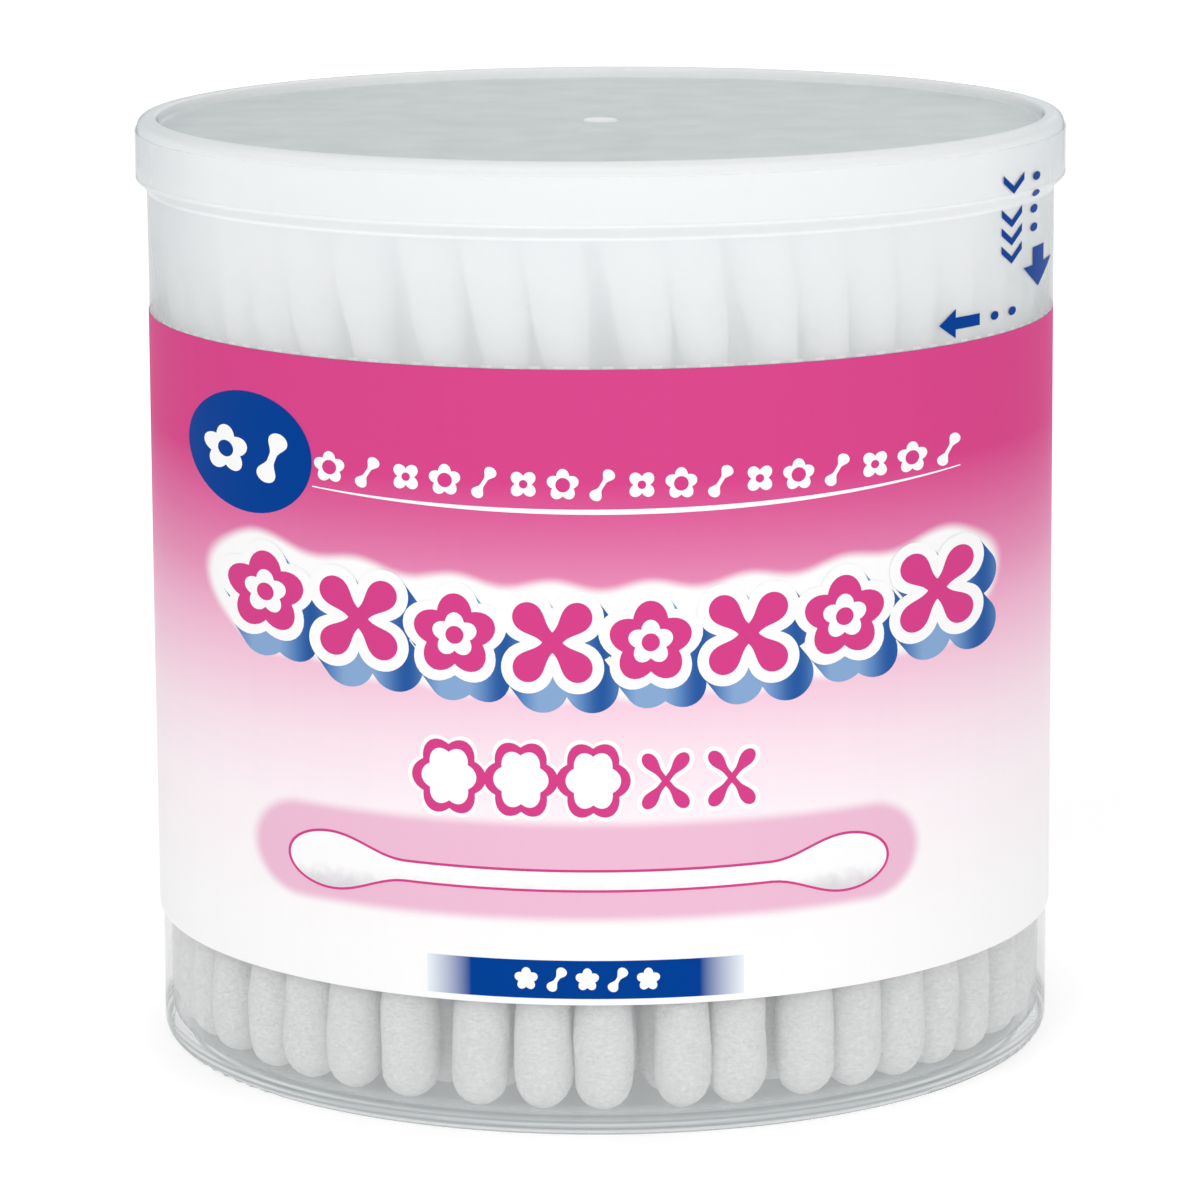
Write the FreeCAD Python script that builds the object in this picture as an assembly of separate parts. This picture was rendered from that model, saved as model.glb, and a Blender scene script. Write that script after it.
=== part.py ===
import FreeCAD, Part
import math
import os
import random

# A round clear tub of cotton swabs with a snap-on lid, a printed film sleeve and a clear tear strip.
# Millimetres. The tub stands on z = 0 and is centred on the z axis; its front looks along -Y.

os.makedirs("parts", exist_ok=True)

# Tub: clear moulded cup with nearly straight walls, as high as the swabs and the room above them
tub_base_radius = 39.95
tub_rim_radius = 39.65
head_room = 3.28
tub_wall = 0.7
floor_height = 0.7
floor_thickness = 0.8
foot_ring_width = 1.6
foot_ring_rounding = 0.25
base_rounding = 0.8
inner_corner_rounding = 0.8
rim_rounding = 0.2

# Snap beads of tub and lid, with a running clearance between them
bead_depth = 0.15
bead_height = 0.9
bead_rounding = 0.2
tub_bead_below_rim = 2.0
bead_drop = 1.1
bead_clearance = 0.08

# Lid: frosted moulded cap with a sunk panel inside a rounded rim ridge
lid_top_above_rim = 1.2
lid_seat_gap = 0.05
recess_depth = 0.97
ridge_width = 1.74
recess_slope = 0.2
recess_rounding = 0.3
panel_thickness = 0.8
mouth_clearance = 0.25
skirt_height = 5.35
skirt_thickness = 0.75
skirt_flare = 0.05
ridge_rounding = 0.9
ridge_inner_rounding = 0.3
lip_rounding = 0.35
gate_mark_radius = 1.4
gate_mark_height = 0.22
gate_mark_slope = 0.25
gate_mark_rounding = 0.15

# Film sleeve: printed label below, clear tear strip above, parted at the perforation
film_thickness = 0.1
label_bottom = 11.5
label_top_below_skirt = 11.75
label_gap = 0.2
perforation_gap = 0.15
strip_clearance = 0.1
strip_skirt_gap = 0.04
strip_top_below_lid_top = 1.1
strip_fold_start = 0.15
strip_fold_drop = 0.8
strip_rounding = 0.2

# Cotton swabs
swab_count = 200
swab_length = 76.0
stick_diameter = 2.4
tip_length = 15.5
tip_diameter = 4.7
tip_end_diameter = 2.6
tip_neck_wall = 0.15
tip_shoulder = 1.6
tip_shoulder_diameter = 4.23
tip_widest = 4.0
tip_waist = 9.5
tip_waist_diameter = 4.23
stick_bite = 11.0
outer_swab_sides = 8
inner_swab_sides = 6

# How the swabs stand: rings from the wall inwards, all turned a little from bottom to top
outer_row_pitch = 5.17
tip_gap = 0.03
tip_wall_gap = 0.15
tip_floor_gap = 0.02
bundle_twist = 7.0
widest_gap_angle = 5.0
placing_seed = 7

Z_AXIS = FreeCAD.Vector(0, 0, 1)

floor_top = floor_height + floor_thickness
tub_height = floor_top + tip_floor_gap + swab_length + head_room
lid_top = tub_height + lid_top_above_rim
panel_top = lid_top - recess_depth
skirt_bottom = lid_top - skirt_height
label_top = skirt_bottom - label_top_below_skirt
tub_bead_radius = tub_rim_radius + bead_depth
lid_bead_radius = tub_bead_radius + bead_clearance
skirt_inner_radius = lid_bead_radius + bead_depth
skirt_outer_radius = skirt_inner_radius + skirt_thickness
recess_radius = skirt_outer_radius - ridge_width


def wall_radius(z):
    """Outer radius of the tub's wall at a height."""
    return tub_base_radius + (tub_rim_radius - tub_base_radius) * z / tub_height


def turned(corners):
    """A solid turned about the z axis from a closed outline of (radius, height, rounding) corners."""
    ends = []
    for i, (radius, z, rounding) in enumerate(corners):
        here = FreeCAD.Vector(radius, 0, z)
        before = FreeCAD.Vector(corners[i - 1][0], 0, corners[i - 1][1])
        after = FreeCAD.Vector(corners[(i + 1) % len(corners)][0], 0, corners[(i + 1) % len(corners)][1])
        back = (before - here).normalize()
        on = (after - here).normalize()
        half_angle = back.getAngle(on) / 2
        inwards = back + on
        reach = rounding / math.tan(half_angle)
        dip = rounding / math.sin(half_angle) - rounding
        middle = here + inwards.normalize() * dip if rounding else here
        ends.append((here + back * reach, middle, here + on * reach))
    edges = []
    for i, (start, middle, stop) in enumerate(ends):
        if corners[i][2]:
            edges.append(Part.Arc(start, middle, stop).toShape())
        edges.append(Part.LineSegment(stop, ends[(i + 1) % len(ends)][0]).toShape())
    return Part.Face(Part.Wire(edges)).revolve(FreeCAD.Vector(), Z_AXIS, 360)


def make_tub():
    foot_inner_radius = tub_base_radius - base_rounding - foot_ring_width
    bead_middle = tub_height - tub_bead_below_rim
    bead_bottom = bead_middle - bead_height / 2
    bead_top = bead_middle + bead_height / 2
    return turned([
        (0, floor_height, 0),
        (foot_inner_radius, floor_height, foot_ring_rounding),
        (foot_inner_radius, 0, foot_ring_rounding),
        (tub_base_radius, 0, base_rounding),
        (wall_radius(bead_bottom), bead_bottom, bead_rounding),
        (tub_bead_radius, bead_middle, bead_rounding),
        (wall_radius(bead_top), bead_top, bead_rounding),
        (tub_rim_radius, tub_height, rim_rounding),
        (tub_rim_radius - tub_wall, tub_height, rim_rounding),
        (wall_radius(floor_top) - tub_wall, floor_top, inner_corner_rounding),
        (0, floor_top, 0),
    ])


def make_lid():
    seat = tub_height + lid_seat_gap
    panel_underside = panel_top - panel_thickness
    plug_radius = tub_rim_radius - tub_wall - mouth_clearance
    bead_middle = tub_height - tub_bead_below_rim - bead_drop
    return turned([
        (0, panel_top + gate_mark_height, 0),
        (gate_mark_radius, panel_top + gate_mark_height, gate_mark_rounding),
        (gate_mark_radius + gate_mark_slope, panel_top, gate_mark_rounding),
        (recess_radius - recess_slope, panel_top, recess_rounding),
        (recess_radius, lid_top, ridge_inner_rounding),
        (skirt_outer_radius, lid_top, ridge_rounding),
        (skirt_outer_radius + skirt_flare, skirt_bottom, lip_rounding),
        (skirt_inner_radius, skirt_bottom, lip_rounding),
        (skirt_inner_radius, bead_middle - bead_height / 2, bead_rounding),
        (lid_bead_radius, bead_middle, bead_rounding),
        (skirt_inner_radius, bead_middle + bead_height / 2, bead_rounding),
        (skirt_inner_radius, seat, rim_rounding),
        (plug_radius, seat, rim_rounding),
        (plug_radius, panel_underside, rim_rounding),
        (0, panel_underside, 0),
    ])


def make_printed_label():
    inner_bottom = wall_radius(label_bottom) + label_gap
    inner_top = wall_radius(label_top) + label_gap
    return turned([
        (inner_bottom, label_bottom, 0),
        (inner_bottom + film_thickness, label_bottom, 0),
        (inner_top + film_thickness, label_top, 0),
        (inner_top, label_top, 0),
    ])


def make_tear_strip():
    """The film hugs the wall below the lid, folds out under the skirt's lip and runs up the skirt."""
    bottom = label_top + perforation_gap
    top = lid_top - strip_top_below_lid_top
    fold_top = skirt_bottom + strip_fold_start
    fold_bottom = skirt_bottom - strip_fold_drop
    fold_shift = film_thickness * math.tan(math.pi / 8)
    wall_side = max(tub_bead_radius, wall_radius(bottom)) + strip_clearance
    skirt_side = skirt_outer_radius + skirt_flare + strip_skirt_gap
    return turned([
        (wall_side, bottom, 0),
        (wall_side + film_thickness, bottom, 0),
        (wall_side + film_thickness, fold_bottom - fold_shift, strip_rounding),
        (skirt_side + film_thickness, fold_top - fold_shift, strip_rounding),
        (skirt_side + film_thickness, top, 0),
        (skirt_side, top, 0),
        (skirt_side, fold_top, strip_rounding),
        (wall_side, fold_bottom, strip_rounding),
    ])


def flat_face(corners):
    return Part.Face(Part.makePolygon(corners + corners[:1]))


def many_sided(sides, rings):
    """A solid along +Z through (radius, height) rings, with flat sides from ring to ring."""
    loops = []
    for radius, z in rings:
        angles = [2 * math.pi * i / sides for i in range(sides)]
        loops.append([FreeCAD.Vector(radius * math.cos(a), radius * math.sin(a), z) for a in angles])
    faces = [flat_face(loops[0][::-1]), flat_face(loops[-1])]
    for lower, upper in zip(loops, loops[1:]):
        for i in range(sides):
            faces.append(flat_face([lower[i - 1], lower[i], upper[i], upper[i - 1]]))
    return Part.Solid(Part.makeShell(faces))


def make_stick(sides, bite):
    """A paper stick that reaches into both cotton tips by the bite."""
    inset = tip_length - bite
    return many_sided(sides, [(stick_diameter / 2, inset), (stick_diameter / 2, swab_length - inset)])


def make_tip(sides, bite, detailed):
    """A wound cotton tip with its blunt end at z = 0, its neck above and a blind hole for the stick."""
    neck_radius = stick_diameter / 2 + tip_neck_wall
    rings = [(tip_end_diameter / 2, 0)]
    if detailed:
        rings.append((tip_shoulder_diameter / 2, tip_shoulder))
    rings.append((tip_diameter / 2, tip_widest))
    if detailed:
        rings.append((tip_waist_diameter / 2, tip_waist))
    rings.append((neck_radius, tip_length))
    tip = many_sided(sides, rings)
    if bite:
        tip = tip.cut(many_sided(sides, [(stick_diameter / 2, tip_length - bite), (stick_diameter / 2, tip_length)]))
    return tip.Solids[0]


def lean_of(ring_radius):
    """Lean of a swab from upright, from how far the twist shifts its top along its ring."""
    shift = 2 * ring_radius * math.sin(math.radians(bundle_twist) / 2)
    return math.asin(shift / swab_length)


def ring_angles(ring_radius, count, chance):
    """Angles of one ring's swabs from the front, close together with the spare room shared out by chance."""
    room = (tip_diameter + tip_gap) / math.cos(lean_of(ring_radius))
    closest = 2 * math.asin(room / 2 / ring_radius)
    spare = 2 * math.pi - count * closest
    shares = [chance.random() ** 2 for _ in range(count)]
    angles = []
    angle = 0.0
    for share in shares:
        angles.append(angle)
        angle += closest + spare * share / sum(shares)
    widest = shares.index(max(shares))
    middle = angles[widest] + (closest + spare * shares[widest] / sum(shares)) / 2
    turn = math.radians(widest_gap_angle) - middle
    return [angle + turn for angle in angles]


def swab_places():
    """Where each swab stands: (ring number, placement of its lower end), ring by ring from the wall.

    The rings are packed as for the tub's narrower end and spread to the wall at the other.
    """
    chance = random.Random(placing_seed)
    foot_wall = wall_radius(floor_top) - tub_wall
    head_wall = tub_rim_radius - tub_wall
    narrowest = min(foot_wall, head_wall)
    ring_radius = narrowest - tip_wall_gap - tip_diameter / 2
    ring_number = 0
    left = swab_count
    places = []
    while left and ring_radius > (tip_diameter + tip_gap) / 2:
        room = (tip_diameter + tip_gap) / math.cos(lean_of(ring_radius))
        count = int(math.pi / math.asin(min(1, room / 2 / ring_radius)))
        if ring_number == 0:
            count = min(count, int(2 * math.pi * ring_radius / outer_row_pitch))
        count = min(count, left)
        foot_radius = ring_radius * foot_wall / narrowest
        head_radius = ring_radius * head_wall / narrowest
        for angle in ring_angles(ring_radius, count, chance):
            top_angle = angle - math.radians(bundle_twist)
            foot = FreeCAD.Vector(foot_radius * math.sin(angle), -foot_radius * math.cos(angle), 0)
            head = FreeCAD.Vector(head_radius * math.sin(top_angle), -head_radius * math.cos(top_angle), 0)
            shift = (head - foot).Length
            head.z = math.sqrt(swab_length ** 2 - shift ** 2)
            turn = FreeCAD.Rotation(Z_AXIS, head - foot)
            foot.z = floor_top + tip_floor_gap + tip_end_diameter / 2 * shift / swab_length
            places.append((ring_number, FreeCAD.Placement(foot, turn)))
        left -= count
        ring_number += 1
        ring_radius -= tip_diameter + tip_gap
    return places


def placed(piece, places):
    """A group of separate copies of one piece, one at each place."""
    copies = []
    for place in places:
        copy = piece.copy()
        copy.Placement = place.multiply(copy.Placement)
        copies.append(copy)
    return Part.makeCompound(copies)


def upside_down(tip):
    """The tip turned over so that its blunt end is the upper end of the swab."""
    other_end = FreeCAD.Placement(FreeCAD.Vector(0, 0, swab_length), FreeCAD.Rotation(FreeCAD.Vector(1, 0, 0), 180))
    turned_tip = tip.copy()
    turned_tip.Placement = other_end
    return turned_tip


def make_swabs():
    """Sticks and tips of the outer row, round and detailed, and of the inner rings, plainer."""
    places = swab_places()
    outer = [place for ring_number, place in places if ring_number == 0]
    inner = [place for ring_number, place in places if ring_number > 0]
    outer_tip = make_tip(outer_swab_sides, stick_bite, True)
    inner_tip = make_tip(inner_swab_sides, 0, False)
    return {
        "outer_sticks": placed(make_stick(outer_swab_sides, stick_bite), outer),
        "outer_lower_tips": placed(outer_tip, outer),
        "outer_upper_tips": placed(upside_down(outer_tip), outer),
        "inner_sticks": placed(make_stick(inner_swab_sides, 0), inner),
        "inner_lower_tips": placed(inner_tip, inner),
        "inner_upper_tips": placed(upside_down(inner_tip), inner),
    }


nodes = {
    "tub": make_tub(),
    "lid": make_lid(),
    "printed_label": make_printed_label(),
    "tear_strip": make_tear_strip(),
}
nodes.update(make_swabs())
for name, shape in nodes.items():
    shape.exportStep("parts/" + name + ".step")
    print(name, len(shape.Solids), "solids", round(shape.Volume, 1), "mm3", shape.isValid())
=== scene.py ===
import math
import random

import bmesh
import bpy
from mathutils import Matrix, Vector


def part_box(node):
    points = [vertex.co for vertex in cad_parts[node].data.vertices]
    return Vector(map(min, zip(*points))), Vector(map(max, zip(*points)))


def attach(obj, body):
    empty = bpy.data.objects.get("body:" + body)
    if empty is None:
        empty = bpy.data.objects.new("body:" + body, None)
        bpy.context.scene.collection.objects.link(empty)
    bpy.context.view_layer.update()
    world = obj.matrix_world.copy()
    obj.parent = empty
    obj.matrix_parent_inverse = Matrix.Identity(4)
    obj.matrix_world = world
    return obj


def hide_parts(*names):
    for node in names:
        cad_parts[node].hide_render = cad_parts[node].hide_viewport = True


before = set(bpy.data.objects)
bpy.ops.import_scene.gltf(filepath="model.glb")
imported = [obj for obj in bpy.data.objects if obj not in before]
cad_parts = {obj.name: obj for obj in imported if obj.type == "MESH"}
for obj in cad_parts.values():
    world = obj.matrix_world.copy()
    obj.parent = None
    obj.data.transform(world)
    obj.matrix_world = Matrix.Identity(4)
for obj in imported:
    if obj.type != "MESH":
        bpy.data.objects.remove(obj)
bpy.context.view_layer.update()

# Tub. A clear cup, injection moulded in one piece from crystal polystyrene: thin drafted wall, a floor on a
# narrow foot ring, and a small bead under the rim for the lid. It stands as the CAD has it.
mm = 0.001


def linear(code):
    """A shader's linear colour from an sRGB hex code."""
    shares = [int(code[i:i + 2], 16) / 255 for i in (1, 3, 5)]
    return [c / 12.92 if c <= 0.04045 else ((c + 0.055) / 1.055) ** 2.4 for c in shares] + [1]


def add(tree, kind, inputs, **settings):
    """Adds a node with its settings, and a value or a link for each input that is named or numbered."""
    made = tree.nodes.new(kind)
    for name, value in settings.items():
        setattr(made, name, value)
    for name, value in inputs.items():
        if isinstance(value, bpy.types.NodeSocket):
            tree.links.new(value, made.inputs[name])
        else:
            made.inputs[name].default_value = value
    return made


def letting_light_in(tree, alpha, held_back):
    """The alpha as it is seen, of which only a share holds light back on its way to the swabs inside."""
    rays = add(tree, "ShaderNodeLightPath", {})
    passing = add(tree, "ShaderNodeMath", {
        0: rays.outputs["Is Shadow Ray"], 1: rays.outputs["Is Diffuse Ray"]}, operation="MAXIMUM")
    share = add(tree, "ShaderNodeMapRange", {"Value": passing.outputs[0], "To Min": 1, "To Max": held_back})
    return add(tree, "ShaderNodeMath", {0: alpha, 1: share.outputs[0]}, operation="MULTIPLY").outputs[0]


# Crystal polystyrene, moulded against polished steel: clear with a faint milky veil, which thickens where the wall is
# seen edge on. There it is painted grey, a painted shade that stands in for light bent at the edge. The thick corner
# at the foot is painted greyer, with fine painted bright and dark lines that stand in for the light bent by its
# edges.
foot_corner, foot_corner_full = 2.6 * mm, 1.4 * mm
ring_pitch = 0.55 * mm
polystyrene = bpy.data.materials.new("moulded_crystal_polystyrene")
polystyrene.use_nodes = True
tree = polystyrene.node_tree
tree.nodes.clear()
place = add(tree, "ShaderNodeTexCoord", {})
height = add(tree, "ShaderNodeSeparateXYZ", {0: place.outputs["Object"]})
foot = add(tree, "ShaderNodeMapRange", {
    "Value": height.outputs["Z"], "From Min": foot_corner, "From Max": foot_corner_full, "To Min": 0, "To Max": 0.4})
ring_turn = add(tree, "ShaderNodeMath", {0: height.outputs["Z"], 1: 2 * math.pi / ring_pitch}, operation="MULTIPLY")
ring_wave = add(tree, "ShaderNodeMath", {0: ring_turn.outputs[0]}, operation="SINE")
painted_ring_lines = add(tree, "ShaderNodeMath", {0: ring_wave.outputs[0], 1: foot.outputs[0]}, operation="MULTIPLY")
edge_on = add(tree, "ShaderNodeLayerWeight", {"Blend": 0.3})
body = add(tree, "ShaderNodeMapRange", {
    "Value": edge_on.outputs["Facing"], "From Min": 0.5, "From Max": 1, "To Min": 0.2, "To Max": 0.65})
footed = add(tree, "ShaderNodeMath", {0: foot.outputs[0], 1: body.outputs[0]}, operation="ADD")
alpha = add(tree, "ShaderNodeMath", {
    0: painted_ring_lines.outputs[0], 1: 0.4, 2: footed.outputs[0]}, operation="MULTIPLY_ADD", use_clamp=True)
# Painted shade: a grey line where the wall is seen edge on, greyer at the foot, with painted bright and dark ring
# lines there.
rim_line = add(tree, "ShaderNodeMapRange", {"Value": edge_on.outputs["Facing"], "From Min": 0.5, "From Max": 0.95})
painted_edge_and_foot_shade = add(tree, "ShaderNodeMath", {0: foot.outputs[0], 1: 1.5, 2: rim_line.outputs[0]}, operation="MULTIPLY_ADD")
painted_grey = add(tree, "ShaderNodeMath", {
    0: painted_ring_lines.outputs[0], 1: 1.2, 2: painted_edge_and_foot_shade.outputs[0]}, operation="MULTIPLY_ADD", use_clamp=True)
tint = add(tree, "ShaderNodeMix", {
    "Factor": painted_grey.outputs[0], "A": linear("#e0e4e5"), "B": linear("#9aa1a3")}, data_type="RGBA")
surface = add(tree, "ShaderNodeBsdfPrincipled", {
    "Base Color": tint.outputs["Result"], "Roughness": 0.08, "IOR": 1.59, "Specular IOR Level": 0.35,
    "Alpha": letting_light_in(tree, alpha.outputs[0], 0.15)})
add(tree, "ShaderNodeOutputMaterial", {"Surface": surface.outputs[0]})
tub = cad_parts["tub"]
tub.data.materials.clear()
tub.data.materials.append(polystyrene)

# Paper sticks. Two hundred tubes of white paper, rolled tight and glued, one to a swab. They stand on end where
# the CAD's sticks stand, but upright at the foot and bowed a little towards the lid, where their heads lean.
floor_top = 1.52 * mm
bundle_twist = math.radians(7)
twist_onset = 2.8
swab_length = 76 * mm
stick_width = 2.4 * mm
stick_end = 4.5 * mm


def swabs_in(node):
    """Middle and direction of every swab, from the separate sticks of a CAD node."""
    sticks = bmesh.new()
    sticks.from_mesh(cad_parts[node].data)
    bmesh.ops.remove_doubles(sticks, verts=sticks.verts, dist=0.001 * mm)
    waiting = set(sticks.verts)
    found = []
    while waiting:
        island = [waiting.pop()]
        for vert in island:
            for edge in vert.link_edges:
                other = edge.other_vert(vert)
                if other in waiting:
                    waiting.remove(other)
                    island.append(other)
        middle = sum((vert.co for vert in island), Vector()) / len(island)
        upper = [vert.co for vert in island if vert.co.z > middle.z]
        found.append((middle, (sum(upper, Vector()) / len(upper) - middle).normalized()))
    sticks.free()
    return sorted(found, key=lambda swab: tuple(swab[0]))


def standing(middle, direction):
    """Matrix that stands a shape made along +Z round the origin on a swab."""
    return Matrix.Translation(middle) @ direction.to_track_quat("Z", "Y").to_matrix().to_4x4()


def bow(shape):
    """Turns every point about the tub's axis, so that the swabs stand upright below and lean near the lid."""
    for vert in shape.verts:
        share = min(1, max(0, (vert.co.z - floor_top) / swab_length))
        vert.co = Matrix.Rotation(bundle_twist * (share - share ** twist_onset), 3, "Z") @ vert.co


def finished(name, shape, material, smooth, slot, riding, *nodes):
    """Makes an object of a bmesh, gives it its material, and lets it ride and stand for its CAD nodes."""
    mesh = bpy.data.meshes.new(name)
    shape.to_mesh(mesh)
    shape.free()
    if smooth:
        mesh.shade_smooth()
        mesh.set_sharp_from_angle(angle=math.radians(50))
    mesh.materials.append(material)
    made = bpy.data.objects.new(name, mesh)
    bpy.context.scene.collection.objects.link(made)
    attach(made, riding)
    if nodes:
        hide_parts(*nodes)
    return made


outer_swabs = swabs_in("outer_sticks")
inner_swabs = swabs_in("inner_sticks")
rolled = bmesh.new()
for middle, direction in outer_swabs + inner_swabs:
    bmesh.ops.create_cone(
        rolled, cap_ends=True, segments=10, radius1=stick_width / 2, radius2=stick_width / 2,
        depth=swab_length - 2 * stick_end, matrix=standing(middle, direction))
bmesh.ops.subdivide_edges(
    rolled, edges=[edge for edge in rolled.edges if edge.calc_length() > swab_length / 2], cuts=4,
    use_grid_fill=True)
bow(rolled)

# Rolled paper: dull white with a warm cast, faintly streaked along the stick.
paper = bpy.data.materials.new("rolled_stick_paper")
paper.use_nodes = True
tree = paper.node_tree
tree.nodes.clear()
place = add(tree, "ShaderNodeTexCoord", {})
drawn_out = add(tree, "ShaderNodeMapping", {"Vector": place.outputs["Object"], "Scale": (1, 1, 0.08)})
streaks = add(tree, "ShaderNodeTexNoise", {"Vector": drawn_out.outputs[0], "Scale": 1 / (0.4 * mm), "Detail": 3})
tint = add(tree, "ShaderNodeMix", {
    "Factor": streaks.outputs["Fac"], "A": linear("#e3e2dc"), "B": linear("#f1f0ec")}, data_type="RGBA")
surface = add(tree, "ShaderNodeBsdfPrincipled", {"Base Color": tint.outputs["Result"], "Roughness": 0.8})
add(tree, "ShaderNodeOutputMaterial", {"Surface": surface.outputs[0]})
finished("rolled_sticks", rolled, paper, True, "paper_stick", "filled_tub", "outer_sticks", "inner_sticks")

# Cotton tips. Bleached cotton sliver wound round each end of a stick and shaped in a mould: a blunt egg that
# narrows to the stick. The outer row is pressed against the wall and stands on the floor. A profile is given
# in mm along the swab from its blunt end, with the radius there, and closes inside the stick.
wall_at_foot = 39.18 * mm
wall_draft = 0.0037
tip_sizes = (0.97, 1.02)
outer_profile = [
    (0, 0), (0.1, 0.75), (0.45, 1.42), (1.0, 1.98), (1.9, 2.4), (3.1, 2.56), (4.6, 2.58), (6.4, 2.52),
    (8.4, 2.4), (10.4, 2.2), (12.2, 1.95), (13.8, 1.66), (15.0, 1.4), (15.6, 1.22), (15.6, 0)]
inner_profile = [(0, 0), (0.45, 1.3), (1.9, 2.2), (4.2, 2.46), (9.0, 2.2), (13.5, 1.6), (15.5, 1.22), (15.5, 0)]
chance = random.Random(4)


def cotton_tip(profile, sides):
    """A tip of its own slightly uneven shape along +Z, with its blunt end at the origin."""
    wound = bmesh.new()
    points = [wound.verts.new((radius * mm, 0, z * mm)) for z, radius in profile]
    line = [wound.edges.new(pair) for pair in zip(points, points[1:])]
    bmesh.ops.spin(
        wound, geom=points + line, axis=(0, 0, 1), cent=(0, 0, 0), angle=2 * math.pi, steps=sides, use_merge=True)
    bmesh.ops.remove_doubles(wound, verts=wound.verts, dist=0.001 * mm)
    bmesh.ops.recalc_face_normals(wound, faces=wound.faces)
    turns = [chance.uniform(0, 2 * math.pi) for _ in range(4)]
    for vert in wound.verts:
        around = math.atan2(vert.co.y, vert.co.x)
        up = vert.co.z / mm
        swell = 1 + 0.03 * math.sin(around + turns[0] + up * 0.3) + 0.024 * math.sin(2 * around + turns[1])
        swell += 0.018 * math.sin(3 * around + turns[2] + up * 0.9) + 0.022 * math.sin(up * 0.9 + turns[3])
        vert.co.x *= swell
        vert.co.y *= swell
    mesh = bpy.data.meshes.new("tip")
    wound.to_mesh(mesh)
    wound.free()
    return mesh


def tips_on(swabs, upper, kinds):
    """One tip at the lower or upper end of every swab, turned and sized by chance."""
    tips = bmesh.new()
    for middle, direction in swabs:
        tip = chance.choice(kinds).copy()
        end = Matrix.Translation((0, 0, -swab_length / 2))
        size = chance.uniform(*tip_sizes)
        turn = Matrix.Rotation(chance.uniform(0, 2 * math.pi), 4, "Z") @ Matrix.Diagonal((size, size, 1, 1))
        over = Matrix.Rotation(math.pi, 4, "X") if upper else Matrix.Identity(4)
        tip.transform(standing(middle, direction) @ over @ end @ turn)
        tips.from_mesh(tip)
        bpy.data.meshes.remove(tip)
    bow(tips)
    for vert in tips.verts:
        out = math.hypot(vert.co.x, vert.co.y)
        inner_wall = wall_at_foot - wall_draft * vert.co.z
        if out > inner_wall:
            vert.co.x *= inner_wall / out
            vert.co.y *= inner_wall / out
        vert.co.z = max(vert.co.z, floor_top)
    return tips


# Wound cotton: matt soft white with a slight sheen of loose fibre; fibres 0.02 mm thick are too fine to show,
# so they are drawn as 0.25 mm wisps that run round the tip, over soft lumps of about 1.6 mm.
cotton = bpy.data.materials.new("wound_bleached_cotton")
cotton.use_nodes = True
tree = cotton.node_tree
tree.nodes.clear()
place = add(tree, "ShaderNodeTexCoord", {})
wrapped = add(tree, "ShaderNodeMapping", {"Vector": place.outputs["Object"], "Scale": (0.55, 0.55, 1)})
wisps = add(tree, "ShaderNodeTexNoise", {
    "Vector": wrapped.outputs[0], "Scale": 1 / (0.25 * mm), "Detail": 5, "Roughness": 0.7, "Distortion": 0.7})
wispy = add(tree, "ShaderNodeMapRange", {"Value": wisps.outputs["Fac"], "From Min": 0.33, "From Max": 0.67})
lumps = add(tree, "ShaderNodeTexNoise", {"Vector": place.outputs["Object"], "Scale": 1 / (1.6 * mm), "Detail": 3})
wisp_bump = add(tree, "ShaderNodeBump", {"Height": wisps.outputs["Fac"], "Strength": 0.9, "Distance": 0.28 * mm})
lump_bump = add(tree, "ShaderNodeBump", {
    "Height": lumps.outputs["Fac"], "Strength": 0.7, "Distance": 0.7 * mm, "Normal": wisp_bump.outputs[0]})
tint = add(tree, "ShaderNodeMix", {
    "Factor": wispy.outputs[0], "A": linear("#dadad9"), "B": linear("#fafaf9")}, data_type="RGBA")
surface = add(tree, "ShaderNodeBsdfPrincipled", {
    "Base Color": tint.outputs["Result"], "Roughness": 0.95, "Specular IOR Level": 0.1, "Sheen Weight": 0.3,
    "Sheen Roughness": 0.6, "Normal": lump_bump.outputs[0]})
add(tree, "ShaderNodeOutputMaterial", {"Surface": surface.outputs[0]})
outer_kinds = [cotton_tip(outer_profile, 20) for _ in range(6)]
inner_kinds = [cotton_tip(inner_profile, 10) for _ in range(5)]
for name, swabs, upper, kinds in (
        ("outer_lower_tips", outer_swabs, False, outer_kinds), ("outer_upper_tips", outer_swabs, True, outer_kinds),
        ("inner_lower_tips", inner_swabs, False, inner_kinds), ("inner_upper_tips", inner_swabs, True, inner_kinds)):
    finished("wound_" + name, tips_on(swabs, upper, kinds), cotton, True, "cotton", "filled_tub", name)

# Label. The printed part of a shrink sleeve: PET film 0.1 mm thick, printed twice round with the same picture,
# lapped in a seam down the left side and shrunk on in a hot air tunnel.
label_low, label_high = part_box("printed_label")
film = 0.1 * mm
seam_width = 5 * mm
top_trim = 0.12 * mm


def reach_of(node, z):
    """Outer radius of a round CAD node at one of its edges."""
    return max(math.hypot(v.co.x, v.co.y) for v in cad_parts[node].data.vertices if abs(v.co.z - z) < 0.01 * mm)


label_foot = reach_of("printed_label", label_low.z)
label_head = reach_of("printed_label", label_high.z)


def label_radius(z):
    """Outer radius of the label's film at a height."""
    return label_foot + (label_head - label_foot) * (z - label_low.z) / (label_high.z - label_low.z)


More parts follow.
